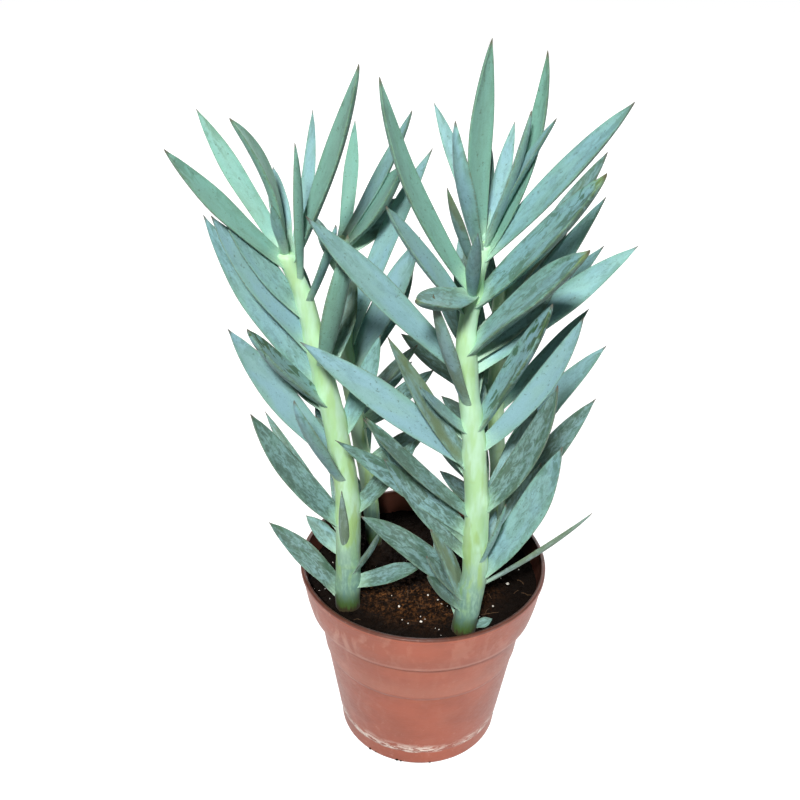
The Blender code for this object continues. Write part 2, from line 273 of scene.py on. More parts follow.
# A stem's path is a list of (height above the soil, x, y), and its radii are at (foot, top). "far" says
# which of its leaves, counted from 0, have a far leaf behind them.
STEMS = {
    "leafy_stem_front_left": {
        "path": (
            (0, -32, -24),
            (60, -32, -24),
            (96, -37, -24),
            (126, -43, -24),
            (146, -47, -24),
            (166, -54, -24),
        ),
        "radii": (5.3, 3.0),
        "leaves": FRONT_LEFT_LEAVES,
        "far": (0, 3, 8, 12, 13),
    },
    "leafy_stem_back_left": {
        "path": (
            (0, -23, 21),
            (34, -26, 21),
            (65, -31, 21),
            (105, -36, 21),
            (155, -37, 21),
        ),
        "radii": (3.6, 2.4),
        "leaves": BACK_LEFT_LEAVES,
        "far": (1, 2, 5),
    },
    "leafy_stem_front_right": {
        "path": (
            (0, 18, -37),
            (26, 21, -37),
            (58, 21, -37),
            (95, 18, -37),
            (135, 13, -37),
            (159, 15, -37),
            (177, 17, -37),
        ),
        "radii": (5.1, 2.6),
        "leaves": FRONT_RIGHT_LEAVES,
        "far": (0, 5, 6, 10, 11, 14, 19),
    },
    "leafy_stem_back_right": {
        "path": (
            (0, 33, 25),
            (40, 33, 26),
            (72, 30, 27),
            (106, 29, 27),
            (138, 28, 27),
        ),
        "radii": (3.8, 2.5),
        "leaves": BACK_RIGHT_LEAVES,
        "far": (0, 1, 3, 5),
    },
}

# A leaf's looks, each from 0 to 1: how green it is under its bloom, how much of the bloom is smudged, how
# many dark green patches it has, how olive, how grey and how yellow at its tip it is. Listed leaves that
# aren't named below are plain. Heavy smudging on the low leaves is partly rubbed bloom and partly painted
# shade of the plant's lower part. The leaves that point behind the stems and the far leaves are dull and dark
# as painted shade.
Looks = namedtuple("Looks", "green smudge patches olive grey yellow")
KINDS = {
    "plain": Looks(0.15, 0.35, 0.1, 0.0, 0.1, 0.0),
    "smooth": Looks(0.0, 0.12, 0.0, 0.0, 0.15, 0.0),
    "green": Looks(0.9, 0.15, 0.1, 0.1, 0.0, 0.1),
    # heavily smudged: partly rubbed bloom, partly painted shade of the plant's lower part
    "smudged_and_shaded": Looks(0.15, 1.0, 0.25, 0.05, 0.2, 0.0),
    "patched": Looks(0.1, 0.3, 1.0, 0.0, 0.0, 0.0),
    "freckled": Looks(0.1, 0.5, 0.15, 0.0, 0.1, 0.0),
    "yellow_tipped": Looks(0.2, 0.5, 0.6, 0.0, 0.0, 0.9),
    "olive": Looks(0.3, 0.6, 0.3, 0.9, 0.3, 0.1),
    "withered": Looks(0.1, 0.9, 0.0, 0.5, 1.0, 0.0),
    # painted shade: dull and dark, for the leaves that point behind the stems and for the far leaves
    "shaded_behind": Looks(0.1, 0.8, 0.2, 0.25, 0.15, 0.0),
}
LOOKS = {
    "leafy_stem_front_left": {
        "smudged_and_shaded": (0, 1, 2, 6, 7),
        "shaded_behind": (4, 5, 9, 26, 27, 28, 29),
        "smooth": (10, 15),
        "green": (13, 18, 19, 20, 21, 24),
        "patched": (12,),
        "withered": (3,),
    },
    "leafy_stem_back_left": {
        "smooth": (2, 3),
        "green": (4, 5),
        "smudged_and_shaded": (0, 1, 7),
        "shaded_behind": (8, 9, 10, 11, 12),
    },
    "leafy_stem_front_right": {
        "smudged_and_shaded": (1, 2, 4, 7, 8, 9, 10, 35),
        "shaded_behind": (36, 37, 38, 39),
        "withered": (3,),
        "smooth": (12, 13, 18, 22),
        "patched": (15,),
        "freckled": (5,),
        "yellow_tipped": (19, 20, 23),
        "olive": (0, 11, 16, 25),
        "green": (24, 26, 29),
    },
    "leafy_stem_back_right": {
        "smudged_and_shaded": (0, 6, 7, 8, 9),
        "olive": (5,),
        "shaded_behind": (10, 11, 12, 13),
    },
}

# What each point of a leaf tells its material: its place on the leaf, a number of the leaf's own, its looks.
LEAF_VALUES = ("along", "across", "along_mm", "across_mm", "seed", *Looks._fields)

# The bit of leaf on the soil: the (x, y) of its foot, its form, its looks and its own number.
FALLEN_BIT_PLACE = (21.8, -35.6)
FALLEN_BIT = Leaf(2.0, 20, 10, 9.5, 4.6, 6, 20)
FALLEN_BIT_LOOKS = Looks(0.3, 0.8, 0.0, 0.0, 0.2, 0.0)
FALLEN_BIT_SEED = 61.0

# (x, y, size) of the white grains that the photo shows on the soil, and how many more there are.
GRAINS_SEEN = (
    (-9.7, -23.8, 1.1),
    (2.8, -15.7, 0.9),
    (7.3, -18.2, 0.8),
    (0.1, -33.0, 1.2),
    (-5.4, -34.6, 0.6),
    (38.7, -3.9, 1.5),
    (31.4, -20.7, 1.1),
    (35.7, -1.2, 0.8),
    (25.5, -27.7, 0.7),
)
GRAINS_MORE = 45

# (compass heading, height, size) of the crumbs of soil that stick to the foot of the pot.
DIRT = (
    (-126, 1.5, 1.5),
    (-121, 1.4, 0.9),
    (-104, 1.4, 1.6),
    (-101, 1.2, 1.0),
    (-80, 1.3, 1.1),
    (-17, 8.2, 1.5),
    (-15, 6.9, 1.0),
)
CRUMBS = 2600
FIBRES = 36
FIBRE_RINGS = 9
FIBRE_SIDES = 6

# How clear of the wall and of the stems each kind of bit lies, and the angle over which a lump is creased.
CRUMB_ROOM = 1.5
GRAIN_ROOM = 2.0
FIBRE_ROOM = 6.0
LUMP_CREASE = 35.0

# The least radius of a crumb and of a grain, and how much more it may be.
CRUMB_RADIUS = (0.28, 1.1)
GRAIN_RADIUS = (0.16, 0.3)

# Colours, as linear red, green and blue.
BLOOM_BLUE = (0.215, 0.41, 0.465)
BLOOM_TEAL = (0.215, 0.41, 0.40)
BLOOM_GREEN = (0.17, 0.38, 0.27)
BLOOM_GREY = (0.27, 0.345, 0.34)
# The smudge colours: rubbed bloom on most leaves, and partly painted shade on the low and back leaves.
SMUDGE = (0.06, 0.115, 0.085)
WORN_AND_SHADED = (0.13, 0.215, 0.18)
PATCH_GREEN = (0.03, 0.10, 0.035)
OLIVE = (0.13, 0.18, 0.075)
LEAF_EDGE_COLOUR = (0.13, 0.18, 0.09)
LEAF_FOOT_COLOUR = (0.40, 0.62, 0.44)
LEAF_TIP_COLOUR = (0.12, 0.085, 0.055)
LEAF_TIP_YELLOW = (0.24, 0.36, 0.09)
STEM_MINT = (0.38, 0.61, 0.31)
STEM_BLOOM = (0.45, 0.68, 0.47)
# The stem's foot colour is partly its own and partly painted shade of the plant's lower part.
STEM_FOOT = (0.12, 0.235, 0.195)
STEM_YELLOW = (0.27, 0.42, 0.07)
STEM_MOSS = (0.05, 0.10, 0.014)
STEM_EARTH = (0.04, 0.03, 0.012)
POT_CLAY = (0.37, 0.10, 0.058)
POT_DEEP = (0.30, 0.082, 0.048)
POT_PALE = (0.55, 0.28, 0.21)
POT_SCUFF = (0.92, 0.80, 0.70)
# painted shade, for the top of the rim and the inside of the wall
POT_PAINTED_SHADE = (0.045, 0.015, 0.009)
SOIL_DARK = (0.004, 0.002, 0.001)
SOIL_BROWN = (0.028, 0.0115, 0.004)
SOIL_ORANGE = (0.17, 0.068, 0.02)
GRAIN_WHITE = (0.92, 0.90, 0.84)
GRAIN_SHADE = (0.62, 0.56, 0.46)
FIBRE_DARK = (0.035, 0.016, 0.007)
FIBRE_PALE = (0.09, 0.05, 0.022)
FLOOR_WHITE = (0.30, 0.30, 0.30)
FLOOR_GLOW = 0.97

# The lights, in metres, watts and degrees: a small bright one a little above the camera and to its left,
# a large weak one overhead, a large one behind, and two narrow ones that fill the sides of the pot.
LIGHTS = (
    # name, place, target, size, power, spread
    ("key", (-0.09, -0.86, 0.93), (0.0, -0.02, 0.16), 0.12, 20.0, 180.0),
    ("overhead", (0.3, 0.4, 1.5), (0.0, 0.0, 0.1), 1.6, 1.4, 180.0),
    ("behind", (0.25, 1.1, 0.75), (0.0, 0.0, 0.15), 1.0, 12.0, 180.0),
    ("fill_left", (-0.5, -0.3, 0.05), (0.0, 0.0, 0.04), 0.10, 0.04, 40.0),
    ("fill_right", (0.5, -0.3, 0.05), (0.0, 0.0, 0.04), 0.10, 0.075, 40.0),
)
WORLD_STRENGTH = 0.035

# The floor's half width, and the radius and height of the wall round it, in millimetres.
STAGE_HALF = 9e3
STAGE_RADIUS = 6e3
STAGE_HEIGHT = 6e3
STAGE_SEGMENTS = 64

# The camera, in metres and degrees. Its lens and sensor are in millimetres.
CAMERA_PLACE = (0.0, -0.394, 0.399)
CAMERA_PITCH = 29.8
CAMERA_YAW = 1.7
CAMERA_ROLL = 1.1
CAMERA_LENS = 49.3
SENSOR_WIDTH = 36.0


def smooth_step(value, low, high):
    share = min(max((value - low) / (high - low), 0.0), 1.0)
    return share * share * (3 - 2 * share)


class Paint:
    """A material, its nodes, and the colour laid so far. A plain value goes in wherever a socket does."""

    def __init__(self, name, colour, **settings):
        self.material = bpy.data.materials.new(name)
        self.material.use_nodes = True
        self.tree = self.material.node_tree
        self.surface = self.tree.nodes["Principled BSDF"]
        self.colour = colour
        for setting, value in settings.items():
            self.put(self.surface.inputs[setting.replace("_", " ")], value)

    def put(self, socket, value):
        if isinstance(value, bpy.types.NodeSocket):
            self.tree.links.new(value, socket)
        elif isinstance(value, tuple) and socket.type == "RGBA":
            socket.default_value = (*value, 1.0)
        else:
            socket.default_value = value

    def node(self, kind, values, output=0, **options):
        node = self.tree.nodes.new("ShaderNode" + kind)
        for option, value in options.items():
            setattr(node, option, value)
        for key, value in values.items():
            self.put(node.inputs[key], value)
        return node.outputs[output]

    def attribute(self, name):
        return self.node("Attribute", {}, "Fac", attribute_name=name)

    def place(self, x=1.0, y=1.0, z=1.0):
        """The place on the piece in millimetres, times a factor along each axis."""
        point = self.node("TexCoord", {}, "Object")
        return self.scaled(point, x / MM, y / MM, z / MM)

    def coordinate(self, axis):
        """The x, y or z of the place on the piece in millimetres, for axis 0, 1 or 2."""
        return self.node("SeparateXYZ", {0: self.place()}, axis)

    def from_axis(self):
        """The distance from the pot's axis in millimetres."""
        return self.node("VectorMath", {0: self.place(1.0, 1.0, 0.0)}, "Value", operation="LENGTH")

    def scaled(self, vector, x, y, z):
        return self.node("VectorMath", {0: vector, 1: (x, y, z)}, operation="MULTIPLY")

    def noise(self, vector, detail=2.0, roughness=0.5, distortion=0.0):
        values = {"Vector": vector, "Scale": 1.0, "Detail": detail, "Roughness": roughness}
        values["Distortion"] = distortion
        return self.node("TexNoise", values)

    def math(self, operation, a, b=0.0, c=0.0):
        return self.node("Math", {0: a, 1: b, 2: c}, operation=operation)

    def times(self, a, b):
        return self.math("MULTIPLY", a, b)

    def plus(self, value, more, factor):
        """A value plus another one times a factor."""
        return self.math("MULTIPLY_ADD", more, factor, value)

    def ramp(self, value, low, high, to_low=0.0, to_high=1.0):
        """to_low where the value is below low, to_high where it is above high, and smooth between them."""
        values = {0: value, 1: low, 2: high, 3: to_low, 4: to_high}
        return self.node("MapRange", values, interpolation_type="SMOOTHSTEP")

    def band(self, value, low, rise_end, fall_start, high, beyond=0.0):
        """1 from rise_end to fall_start, 0 below low, and beyond above high."""
        return self.times(self.ramp(value, low, rise_end), self.ramp(value, fall_start, high, 1.0, beyond))

    def lay(self, colour, share, strength=1.0):
        """Lay a colour over the colour so far, by a share from 0 to 1 times a strength."""
        if strength != 1.0:
            share = self.times(share, strength)
        values = {0: share, 6: self.colour, 7: colour}
        self.colour = self.node("Mix", values, 2, data_type="RGBA")

    def shade(self, factor):
        self.colour = self.node("VectorMath", {0: self.colour, 3: factor}, operation="SCALE")

    def bump(self, height, distance, strength=1.0, normal=None):
        values = {"Height": height, "Distance": distance * MM, "Strength": strength}
        if normal:
            values["Normal"] = normal
        return self.node("Bump", values)

    def finish(self, roughness, normal=None):
        self.put(self.surface.inputs["Base Color"], self.colour)
        self.put(self.surface.inputs["Roughness"], roughness)
        if normal:
            self.put(self.surface.inputs["Normal"], normal)
        return self.material


def leaf_material():
    """Powdery blue-green bloom over a fleshy leaf: smudged, patched with dark green, brown at the tip."""
    paint = Paint("chalky_leaf", BLOOM_BLUE, Specular_IOR_Level=0.3, Sheen_Weight=0.06, Sheen_Roughness=0.5)
    along = paint.attribute("along")
    along_mm = paint.attribute("along_mm")
    across = paint.attribute("across")
    side = paint.math("ABSOLUTE", across)
    smudged = paint.attribute("smudge")
    across_mm = paint.attribute("across_mm")
    place = paint.node("CombineXYZ", {0: along_mm, 1: across_mm, 2: paint.attribute("seed")})

    cloud = paint.noise(paint.scaled(place, 0.06, 0.16, 1.0), 3.0)
    paint.lay(BLOOM_TEAL, paint.ramp(cloud, 0.38, 0.62))
    paint.lay(BLOOM_GREEN, paint.times(paint.attribute("green"), paint.ramp(cloud, 0.25, 0.6, 1.0, 0.7)))
    paint.lay(BLOOM_GREEN, paint.ramp(paint.plus(side, cloud, 0.5), 0.75, 1.3, 0.0, 0.55))
    paint.lay(BLOOM_GREY, paint.attribute("grey"), 0.8)

    broad = paint.noise(paint.scaled(place, 0.05, 0.2, 1.0), 2.0)
    streaks = paint.noise(paint.scaled(place, 0.16, 0.6, 1.0), 4.0, 0.62, 0.9)
    fine = paint.noise(paint.scaled(place, 0.5, 1.0, 1.0), 4.0, 0.65, 0.5)
    mottle = paint.plus(paint.plus(streaks, fine, 0.5), broad, 0.5)
    smudge = paint.times(paint.ramp(paint.plus(mottle, smudged, 0.14), 0.97, 1.26), smudged)
    # Heavy smudging darkens the leaf: real rubbed bloom, and on the low and back leaves partly painted shade.
    paint.lay(WORN_AND_SHADED, paint.ramp(smudged, 0.5, 1.0, 0.0, 0.42))
    paint.lay(SMUDGE, smudge, 0.9)

    patch = paint.noise(paint.scaled(place, 0.13, 0.36, 1.7), 3.0, 0.6, 0.6)
    near_tip = paint.ramp(along, 0.6, 0.95)
    sided = paint.plus(patch, paint.ramp(across, -0.75, 0.45, 1.0, 0.2), 0.12)
    sided = paint.plus(sided, near_tip, 0.04)
    amount = paint.plus(paint.attribute("patches"), near_tip, 0.3)
    paint.lay(PATCH_GREEN, paint.times(paint.ramp(sided, 0.565, 0.67), amount), 0.85)

    speck = paint.noise(paint.scaled(place, 0.6, 0.85, 1.0), 3.0, 0.6)
    paint.lay(SMUDGE, paint.ramp(speck, 0.61, 0.70), 0.55)
    paint.lay(OLIVE, paint.times(paint.attribute("olive"), paint.ramp(broad, 0.40, 0.62)), 0.8)

    edge = paint.times(paint.ramp(side, 0.90, 0.99), paint.ramp(fine, 0.35, 0.6, 0.15, 0.6))
    paint.lay(LEAF_EDGE_COLOUR, edge)
    paint.lay(LEAF_FOOT_COLOUR, paint.ramp(paint.plus(along_mm, fine, 6.0), 7.0, 18.0, 1.0, 0.0), 0.7)
    end = paint.ramp(paint.plus(along, cloud, 0.2), 0.98, 1.07)
    paint.lay(LEAF_TIP_YELLOW, paint.times(end, paint.attribute("yellow")), 0.7)
    paint.lay(LEAF_TIP_COLOUR, paint.ramp(along, 0.95, 0.99), 0.8)

    powder = paint.noise(paint.place(2.2, 2.2, 2.2), 3.0, 0.7)
    lines = paint.noise(paint.scaled(place, 0.05, 2.6, 1.0), 2.0)
    height = paint.plus(paint.plus(powder, lines, 0.7), smudge, -0.5)
    paint.shade(paint.ramp(powder, 0.3, 0.7, 0.93, 1.05))
    return paint.finish(paint.ramp(smudge, 0.0, 1.0, 0.62, 0.45), paint.bump(height, 0.13, 0.6))


def stem_material():
    """Pale mint stem with a whitish bloom, yellow-green streaks, a darker foot that is partly painted shade,
    and moss where it meets the soil.
    """
    paint = Paint("pale_stem", STEM_MINT, Specular_IOR_Level=0.35, Sheen_Weight=0.05, Sheen_Roughness=0.5)
    height = paint.attribute("height_mm")
    cloud = paint.noise(paint.place(0.22, 0.22, 0.06), 3.0, 0.55)
    fine = paint.noise(paint.place(0.9, 0.9, 0.25), 3.0, 0.6)
    paint.lay(STEM_BLOOM, paint.ramp(cloud, 0.38, 0.62))
    paint.lay(STEM_BLOOM, paint.attribute("joint"), 0.4)
    # Darker blue-grey towards the foot: partly the stem's own colour, partly painted shade of the plant's
    # lower part.
    low = paint.times(paint.ramp(height, 14.0, 56.0, 1.0, 0.0), paint.ramp(fine, 0.3, 0.6, 0.7, 1.0))
    paint.lay(STEM_FOOT, low)

    streak = paint.noise(paint.place(0.24, 0.24, 0.05), 3.0, 0.5, 0.3)
    lower = paint.times(paint.ramp(height, 40.0, 120.0, 1.0, 0.4), paint.ramp(height, 14.0, 28.0, 0.2, 1.0))
    paint.lay(STEM_YELLOW, paint.times(paint.ramp(streak, 0.50, 0.62), lower), 0.5)
    paint.lay(STEM_YELLOW, paint.attribute("scar"), 0.25)
    uneven = paint.plus(height, fine, 7.0)
    paint.lay(STEM_MOSS, paint.ramp(uneven, 8.0, 17.0, 0.95, 0.0))
    paint.lay(STEM_EARTH, paint.ramp(uneven, 5.5, 8.5, 1.0, 0.0))

    grain = paint.noise(paint.place(2.0, 2.0, 0.5), 3.0, 0.6)
    return paint.finish(paint.ramp(cloud, 0.3, 0.7, 0.45, 0.6), paint.bump(grain, 0.15, 0.5))


def pot_material():
    """Thin moulded clay-coloured plastic: cloudy, smeared on the collar and scuffed white above the foot,
    with painted light and shade at its steps, on its rim and inside.
    """
    paint = Paint("clay_coloured_plastic", POT_DEEP, Specular_IOR_Level=0.35)
    cloud = paint.noise(paint.place(0.035, 0.035, 0.05), 4.0, 0.6)
    paint.lay(POT_CLAY, paint.ramp(cloud, 0.35, 0.65))

    height = paint.coordinate(2)
    leftward = paint.ramp(paint.coordinate(0), -34.0, -4.0, 1.0, 0.35)
    smear = paint.noise(paint.place(0.13, 0.13, 0.06), 4.0, 0.55, 0.8)
    high = paint.times(paint.ramp(height, 66.0, 78.0, 0.25, 1.0), leftward)
    paint.lay(POT_PALE, paint.times(paint.ramp(smear, 0.48, 0.66), high), 0.6)

    # Painted light and shade in lines round the pot: a painted highlight on the wall above the lower step,
    # painted shade in that step's crease, painted shade on top of the rim that dulls its highlight, a painted
    # highlight on the collar just over its lower edge, and a painted shadow under the collar.
    paint.lay(POT_PALE, paint.band(height, 48.3, 50.5, 52.0, 62.0, 0.3), 0.22)
    paint.lay(POT_DEEP, paint.band(height, 46.4, 47.4, 48.2, 49.0), 0.5)
    paint.lay(POT_PAINTED_SHADE, paint.ramp(height, 90.6, 91.5, 0.0, 0.8))
    paint.lay(POT_PALE, paint.band(height, 71.5, 71.9, 72.4, 73.6), 0.3)
    paint.lay(POT_DEEP, paint.band(height, 66.0, 70.0, 71.0, 71.5), 0.8)

    scratch = paint.noise(paint.place(0.16, 0.16, 0.5), 5.0, 0.7, 0.7)
    wander = paint.plus(height, paint.noise(paint.place(0.07, 0.07, 0.0), 3.0), 9.0)
    ridge = paint.times(paint.ramp(height, 7.6, 8.8), paint.ramp(wander, 13.0, 20.0, 1.0, 0.0))
    scuffs = paint.times(paint.ramp(scratch, 0.44, 0.58), ridge)
    paint.lay(POT_SCUFF, scuffs, 0.95)
    dust = paint.noise(paint.place(0.5, 0.5, 0.5), 4.0, 0.65)
    low = paint.ramp(height, 4.0, 40.0, 0.35, 0.15)
    paint.lay(POT_PALE, paint.times(paint.ramp(dust, 0.58, 0.74), low))

    # The inner face of the wall leans as the outer one does, a wall's thickness nearer to the axis.
    # Its upper part is painted near black as painted shade.
    outward = paint.plus(paint.from_axis(), height, -0.13)
    inside = paint.times(paint.ramp(outward, 41.8, 42.1, 1.0, 0.0), paint.ramp(height, 79.0, 80.0))
    paint.lay(POT_PAINTED_SHADE, inside, 0.93)

    wear = paint.noise(paint.place(0.4, 0.4, 1.6), 4.0, 0.6)
    bump = paint.bump(paint.noise(paint.place(0.12, 0.12, 0.3), 4.0, 0.6), 0.25, 0.5)
    bump = paint.bump(scuffs, 0.1, 0.5, bump)
    return paint.finish(paint.ramp(wear, 0.3, 0.7, 0.36, 0.5), bump)


def soil_material(name, brightness):
    """Potting mix, brown and a little orange in the middle where painted light falls. It is near black at the
    back as painted shade, and near black by the wall, partly darker soil and partly painted shadow of the
    wall and leaves.
    """
    paint = Paint(name, SOIL_DARK, Specular_IOR_Level=0.1)
    broad = paint.noise(paint.place(0.11, 0.11, 0.11), 3.0, 0.6)
    grain = paint.noise(paint.place(0.6, 0.6, 0.6), 5.0, 0.75)
    cell = paint.node("TexVoronoi", {"Vector": paint.place(0.8, 0.8, 0.8), "Scale": 1.0, "Randomness": 1.0})
    radius = paint.plus(paint.from_axis(), broad, 12.0)
    depth = paint.coordinate(1)
    paint.lay(SOIL_BROWN, paint.ramp(grain, 0.38, 0.62))
    # The orange shows only in the lit middle: a painted pool of light that fades towards the wall and the
    # back.
    orange_where_lit = paint.times(paint.ramp(broad, 0.38, 0.6, 0.3, 1.0), paint.ramp(radius, 30.0, 46.0, 1.0, 0.04))
    orange_where_lit = paint.times(orange_where_lit, paint.ramp(depth, -16.0, -2.0, 1.0, 0.08))
    paint.lay(SOIL_ORANGE, paint.times(paint.ramp(grain, 0.50, 0.62), orange_where_lit), brightness)
    # Darker towards the wall: partly darker soil, partly painted shadow of the wall and leaves.
    paint.lay(SOIL_DARK, paint.ramp(radius, 36.0, 49.0, 0.0, 0.95))
    # Near black at the back: painted shade.
    paint.lay(SOIL_DARK, paint.ramp(depth, -12.0, 6.0, 0.0, 0.8))
    height = paint.plus(grain, cell, -0.6)
    return paint.finish(paint.ramp(grain, 0.4, 0.7, 0.95, 0.8), paint.bump(height, 0.5, 0.8))


def grain_material():
    paint = Paint("white_grain", GRAIN_SHADE, Specular_IOR_Level=0.3)
    pores = paint.noise(paint.place(2.5, 2.5, 2.5), 3.0, 0.6)
    paint.lay(GRAIN_WHITE, paint.ramp(pores, 0.35, 0.6))
    return paint.finish(0.85, paint.bump(pores, 0.2, 0.7))


def fibre_material():
    paint = Paint("dry_fibre", FIBRE_DARK, Specular_IOR_Level=0.25)
    tone = paint.noise(paint.place(0.3, 0.3, 0.3), 3.0)
    paint.lay(FIBRE_PALE, paint.ramp(tone, 0.35, 0.65))
    return paint.finish(0.85, paint.bump(paint.noise(paint.place(3.0, 3.0, 3.0)), 0.1, 0.6))


def floor_material():
    glow = {"Emission_Color": (1.0, 1.0, 1.0), "Emission_Strength": FLOOR_GLOW}
    return Paint("studio_floor", FLOOR_WHITE, Specular_IOR_Level=0.1, **glow).finish(0.9)


def mesh_piece(name, points, faces, material, values=None, crease=None):
    """An object from points in millimetres. values holds lists of one number per point, by name."""
    data = bpy.data.meshes.new(name)
    data.from_pydata([(x * MM, y * MM, z * MM) for x, y, z in points], [], faces)
    for key, numbers in (values or {}).items():
        data.attributes.new(key, "FLOAT", "POINT").data.foreach_set("value", numbers)
    data.materials.append(material)
    data.shade_smooth()
    if crease:
        data.set_sharp_from_angle(angle=math.radians(crease))
    data.validate()
    obj = bpy.data.objects.new(name, data)
    bpy.context.scene.collection.objects.link(obj)
    return obj


def joined(rings):
    """The points of all the rings, in order."""
    return [point for ring in rings for point in ring]


def skin(rings, start=0):
    """Faces over rings of equal size, numbered from start. An end is a flat cap, or closes in one point."""
    count = len(rings[1])
    faces = []
    index = start
    starts = []
    for ring in rings:
        starts.append(index)
        index += len(ring)
    for (low, low_at), (high, high_at) in zip(zip(rings, starts), zip(rings[1:], starts[1:])):
        for i in range(count):
            j = (i + 1) % count
            if len(low) == 1:
                faces.append((low_at, high_at + j, high_at + i))
            elif len(high) == 1:
                faces.append((low_at + i, low_at + j, high_at))
            else:
                faces.append((low_at + i, low_at + j, high_at + j, high_at + i))
    if len(rings[0]) > 1:
        faces.append(tuple(range(starts[0] + count - 1, starts[0] - 1, -1)))
    if len(rings[-1]) > 1:
        faces.append(tuple(range(starts[-1], starts[-1] + count)))
    return faces


def circle(radius, height, segments):
    steps = [2 * math.pi * i / segments for i in range(segments)]
    return [(radius * math.cos(a), radius * math.sin(a), height) for a in steps]


def rounded(corners, steps=6):
    """The corners of a profile, each (radius, height, rounding), as a line that turns smoothly at each."""
    line = [Vector(corners[0][:2])]
    for before, corner, after in zip(corners, corners[1:], corners[2:]):
        here = Vector(corner[:2])
        back = Vector(before[:2]) - here
        ahead = Vector(after[:2]) - here
        reach = min(corner[2], back.length * 0.45, ahead.length * 0.45)
        if reach < LEAST_ROUNDING:
            line.append(here)
            continue
        start = here + back.normalized() * reach
        end = here + ahead.normalized() * reach
        for i in range(steps + 1):
            t = i / steps
            line.append(start * (1 - t) ** 2 + here * 2 * t * (1 - t) + end * t**2)
    line.append(Vector(corners[-1][:2]))
    return line


def wall_inside(inset):
    """The corners of the wall's inner side, from under the lip down. The ledge keeps its thickness."""
    corners = []
    for i, (radius, height, rounding) in enumerate(WALL_CORNERS[:FOOT_CORNER]):
        corners.append((radius - inset, height + (inset if i in LEDGE_CORNERS else 0.0), rounding))
    return corners


def wall_radius(height):
    """The outside radius of the pot's wall at a height under the lip."""
    for (high_r, high_z, _), (low_r, low_z, _) in zip(WALL_CORNERS, WALL_CORNERS[1:]):
        if height >= low_z:
            break
    return low_r + (high_r - low_r) * (height - low_z) / (high_z - low_z)


def make_pot(material):
    mouth_radius = RIM_RADIUS - LIP_OVERHANG - WALL
    under = [
        (0.0, FOOT_RECESS, 0.0),
        (FOOT_RING_RADII[0], FOOT_RECESS, 0.3),
        (FOOT_RING_RADII[1], 0.0, 0.3),
        (WALL_CORNERS[-1][0] - FOOT_ROUNDING, 0.0, FOOT_ROUNDING),
    ]
    outside = list(WALL_CORNERS[::-1])
    lip = [
        (RIM_RADIUS, POT_HEIGHT - LIP_HEIGHT, 0.4),
        (RIM_RADIUS, POT_HEIGHT, 0.8),
        (mouth_radius, POT_HEIGHT, 0.5),
    ]
    inside = wall_inside(WALL) + [(wall_radius(FLOOR) - WALL, FLOOR, 1.5), (0.0, FLOOR, 0.0)]
    line = rounded(under + outside + lip + inside)
    rings = [[(0.0, 0.0, p.y)] if p.x == 0 else circle(p.x, p.y, POT_SEGMENTS) for p in line]
    pot = mesh_piece("pot_body", joined(rings), skin(rings), material)
    cut_drain_holes(pot)
    pot.data.shade_smooth()
    pot.data.set_sharp_from_angle(angle=math.radians(POT_CREASE))
    return pot


def cut_drain_holes(pot):
    group = bpy.data.collections.new("drain_holes")
    bpy.context.scene.collection.children.link(group)
    for i in range(DRAIN_HOLES):
        angle = 2 * math.pi * (i + 0.5) / DRAIN_HOLES
        x = DRAIN_CIRCLE_RADIUS * math.cos(angle)
        y = DRAIN_CIRCLE_RADIUS * math.sin(angle)
        rings = []
        for height in (-FLOOR, 2 * FLOOR):
            ring = circle(DRAIN_RADIUS, height, DRAIN_SEGMENTS)
            rings.append([(x + px, y + py, pz) for px, py, pz in ring])
        cutter = mesh_piece("drain_hole", joined(rings), skin(rings), pot.data.materials[0])
        bpy.context.scene.collection.objects.unlink(cutter)
        group.objects.link(cutter)
    modifier = pot.modifiers.new("holes", "BOOLEAN")
    modifier.operation = "DIFFERENCE"
    modifier.operand_type = "COLLECTION"
    modifier.collection = group
    with bpy.context.temp_override(object=pot, active_object=pot):
        bpy.ops.object.modifier_apply(modifier=modifier.name)
    for cutter in list(group.objects):
        bpy.data.objects.remove(cutter)
    bpy.data.collections.remove(group)


def wave_height(x, y, height, length, layer):
    return height * noise.noise(Vector((x / length, y / length, layer)))


def soil_level(x, y):
    """The height of the soil's rough surface. It dips at the wall and is heaped a little round the stems."""
    r = math.hypot(x, y)
    level = SOIL_HEIGHT + SOIL_CROWN * (1 - (r / SOIL_RADIUS) ** 2)
    level -= SOIL_DIP[0] * smooth_step(r, SOIL_RADIUS - SOIL_DIP[1], SOIL_RADIUS)
    for stem in STEMS.values():
        _, stem_x, stem_y = stem["path"][0]
        gap = math.hypot(x - stem_x, y - stem_y) - stem["radii"][0]
        level += SOIL_HEAP[0] * math.exp(-((max(gap, 0.0) / SOIL_HEAP[1]) ** 2))
    for wave in SOIL_WAVES:
        level += wave_height(x, y, *wave)
    near = noise.voronoi(Vector((x / CLOD_LENGTH, y / CLOD_LENGTH, 0.5)))[0][0]
    return level + CLOD_HEIGHT * (CLOD_MIDDLE - near) + wave_height(x, y, *SOIL_RIPPLE)


def make_soil(material):
    gap = WALL + CLEARANCE
    side = [(wall_radius(FLOOR + CLEARANCE) - gap, FLOOR + CLEARANCE)]
    side += [(radius, height) for radius, height, _ in wall_inside(gap)[:0:-1]]
    rings = [circle(radius, height, SOIL_SEGMENTS) for radius, height in side]
    for i in range(SOIL_RINGS, 0, -1):
        radius = SOIL_RADIUS * i / SOIL_RINGS
        rings.append([(x, y, soil_level(x, y)) for x, y, _ in circle(radius, 0.0, SOIL_SEGMENTS)])
    rings.append([(0.0, 0.0, soil_level(0.0, 0.0))])
    return mesh_piece("soil_bed", joined(rings), skin(rings), material)


